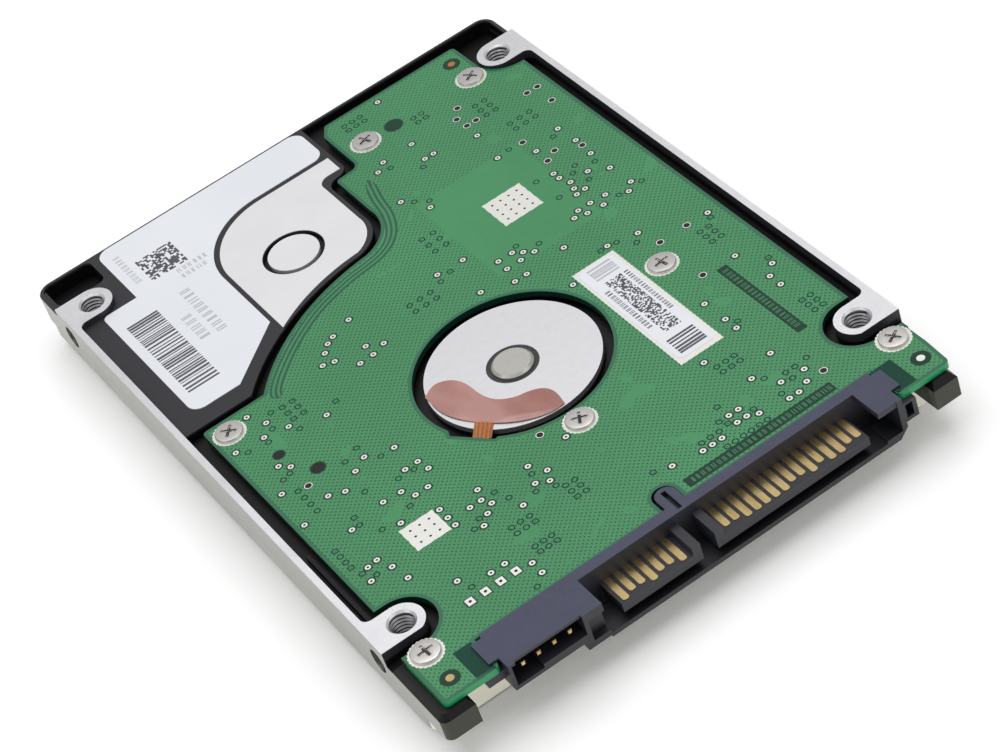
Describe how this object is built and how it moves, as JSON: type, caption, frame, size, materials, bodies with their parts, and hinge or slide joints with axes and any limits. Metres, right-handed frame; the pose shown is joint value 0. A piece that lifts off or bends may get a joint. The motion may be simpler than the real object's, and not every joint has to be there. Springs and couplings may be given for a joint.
{
  "type": "hard disk drive",
  "caption": "Slim 2.5 inch hard disk drive with a serial-ATA plug: cast base, green board, spindle motor, platters, swinging head arm and latch.",
  "frame": {"origin": "below the middle of the outline, on the outside of the top cover", "axes": "+Z out of the circuit-board side, +Y from the plug end to the far end, +X across the width, to the right when the plug faces the viewer and the board faces up"},
  "size_m": [0.0698, 0.1002, 0.0095],
  "materials": {
    "black_casting": "black paint on die-cast aluminium, machined strips bare",
    "cover_metal": "satin",
    "gasket_rubber": "matte",
    "steel_screw": "nickel plated",
    "cover_paper": "satin paper label",
    "board_green": "green solder mask over fibreglass",
    "chip_black": "moulded epoxy",
    "crystal_can": "tinned can",
    "small_part_grey": "ceramic chip parts",
    "insulator_film": "thin polymer film",
    "plug_plastic": "moulded slate-blue plastic",
    "gold_plate": "gold flash over bronze",
    "motor_plate": "bright machined",
    "end_cap_steel": "satin",
    "sleeve_brass": "machined",
    "lamination_steel": "laminated",
    "copper_wire": "enamelled copper wire",
    "hub_aluminium": "machined",
    "shaft_steel": "ground",
    "magnet_nickel": "nickel plated magnet",
    "platter_mirror": "polished",
    "plate_steel": "plated",
    "slider_ceramic": "lapped",
    "inner_plastic": "moulded polymer",
    "flex_film": "polyimide film",
    "label_paper": "satin paper",
    "foil_metal": "thin adhesive foil",
    "filter_fabric": "felt"
  },
  "bodies": {
    "drive_body": {"base_casting": "black_casting", "base_label": "label_paper", "bearing_sleeve": "sleeve_brass", "board_insulator": "insulator_film", "board_label": "label_paper", "board_screws": "steel_screw", "breather_filter": "filter_fabric", "circuit_board": "board_green", "controller_chip": "chip_black", "cover_gasket": "gasket_rubber", "cover_label": "cover_paper", "cover_screws": "steel_screw", "crash_stops": "gasket_rubber", "crystal": "crystal_can", "desiccant_pouch": "filter_fabric", "flash_chip": "chip_black", "head_connector": "plug_plastic", "head_flex": "flex_film", "jumper_pins": "gold_plate", "latch_pin": "shaft_steel", "load_ramp": "inner_plastic", "lower_magnet": "magnet_nickel", "lower_magnet_plate": "plate_steel", "memory_chip": "chip_black", "motor_base": "motor_plate", "motor_driver_chip": "chip_black", "motor_end_cap": "end_cap_steel", "motor_flex": "flex_film", "pivot_foil": "foil_metal", "pivot_post": "shaft_steel", "plug_housing": "plug_plastic", "power_contacts": "gold_plate", "recirculation_filter": "filter_fabric", "signal_contacts": "gold_plate", "small_parts": "small_part_grey", "stator_coils": "copper_wire", "stator_core": "lamination_steel", "top_cover": "cover_metal", "upper_magnet": "magnet_nickel", "upper_magnet_plate": "plate_steel"},
    "spindle_rotor": {"spindle_shaft": "shaft_steel", "spindle_hub": "hub_aluminium", "rotor_magnet": "magnet_nickel", "lower_platter": "platter_mirror", "upper_platter": "platter_mirror", "platter_spacer": "hub_aluminium", "disk_clamp": "hub_aluminium", "clamp_screws": "steel_screw"},
    "actuator": {"actuator_arm": "hub_aluminium", "pivot_sleeve": "shaft_steel", "voice_coil": "copper_wire", "coil_frame": "inner_plastic", "head_suspensions": "plate_steel", "head_sliders": "slider_ceramic", "preamp_chip": "chip_black"},
    "latch": {"latch_lever": "inner_plastic"}
  },
  "joints": [
    {"name": "spindle_spin", "type": "hinge", "parent": "drive_body", "child": "spindle_rotor", "pos_m": [0, -0.0106, 0.004], "axis": [0, 0, 1], "continuous": true},
    {"name": "actuator_swing", "type": "hinge", "parent": "drive_body", "child": "actuator", "pos_m": [-0.0078, 0.0287, 0.004], "axis": [0, 0, 1], "range_deg": [-32.5, 0]},
    {"name": "latch_swing", "type": "hinge", "parent": "drive_body", "child": "latch", "pos_m": [-0.0279, 0.0226, 0.0038], "axis": [0, 0, 1], "range_deg": [-8, 8]}
  ]
}
